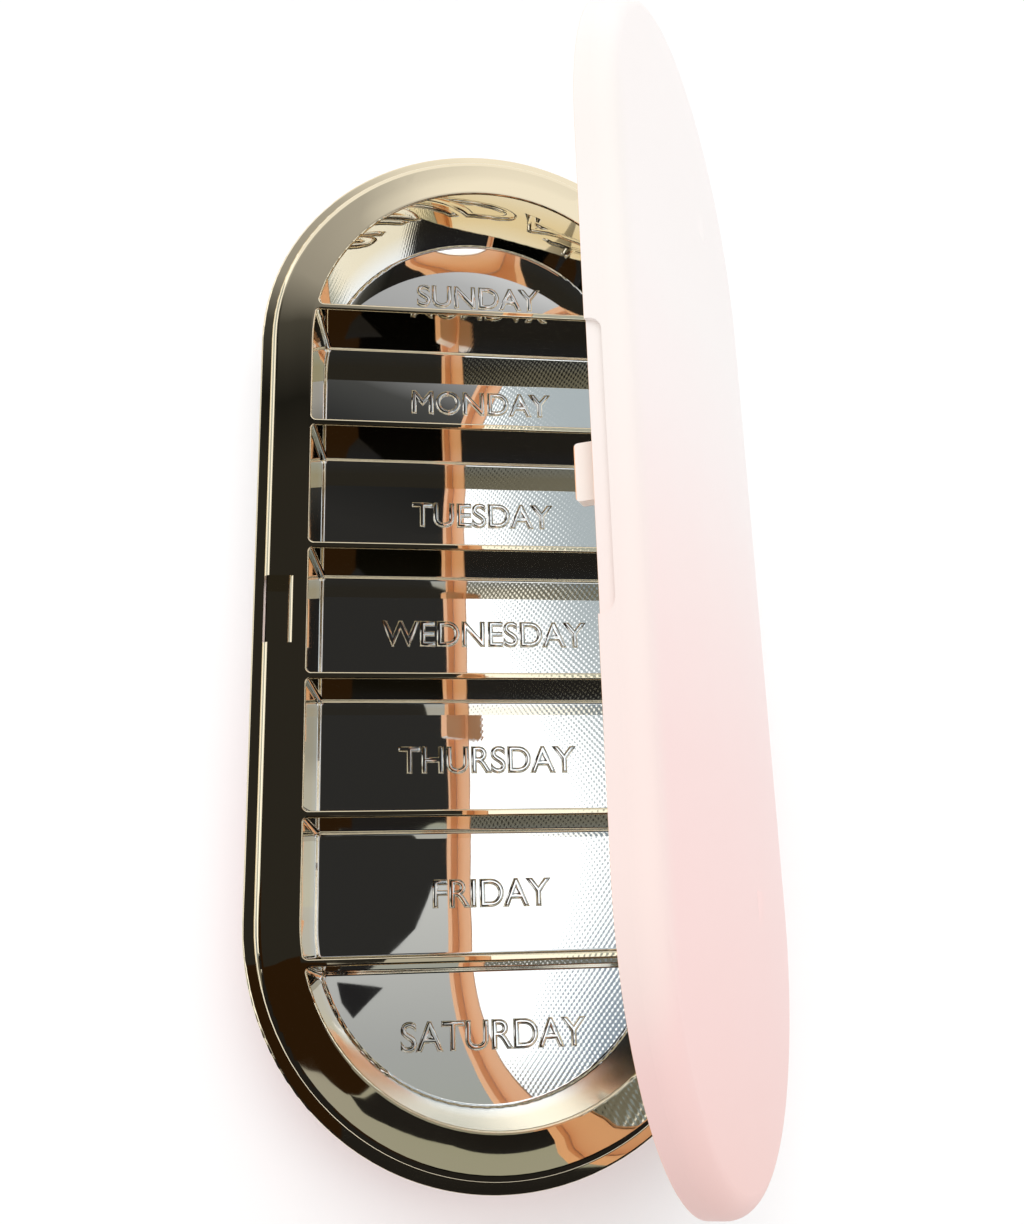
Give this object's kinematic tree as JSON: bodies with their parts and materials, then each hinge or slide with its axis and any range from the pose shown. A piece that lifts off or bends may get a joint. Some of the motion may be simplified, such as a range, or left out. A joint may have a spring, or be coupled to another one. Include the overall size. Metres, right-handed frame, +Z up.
{
  "type": "weekly pill box",
  "caption": "Pebble-shaped clamshell pill case with round ends: a plated tray of cross-wise day pockets under a domed lid on a long-side hinge.",
  "frame": {"origin": "centre of the flat underside of the lower shell", "axes": "+Z up out of the pockets, +Y along the case towards the first day's end, +X towards the hinge"},
  "size_m": [0.0761, 0.1606, 0.0813],
  "materials": {
    "soft_touch_shell": "soft-touch matte",
    "gold_plating": "pale gold chrome plating on moulded plastic",
    "inner_frame": "satin",
    "silver_plating": "silver chrome plating on dimpled plastic",
    "pin_steel": "bright drawn"
  },
  "bodies": {
    "base": {"base_shell": "soft_touch_shell", "compartment_tray": "gold_plating", "hinge_pin_near": "pin_steel", "hinge_pin_far": "pin_steel"},
    "lid": {"lid_shell": "soft_touch_shell", "lid_frame": "inner_frame", "lid_panel": "silver_plating"}
  },
  "joints": [
    {"name": "lid_hinge", "type": "hinge", "parent": "base", "child": "lid", "pos_m": [0.0374, 0, 0.0157], "axis": [0, 1, 0], "range_deg": [-61, 59]}
  ]
}
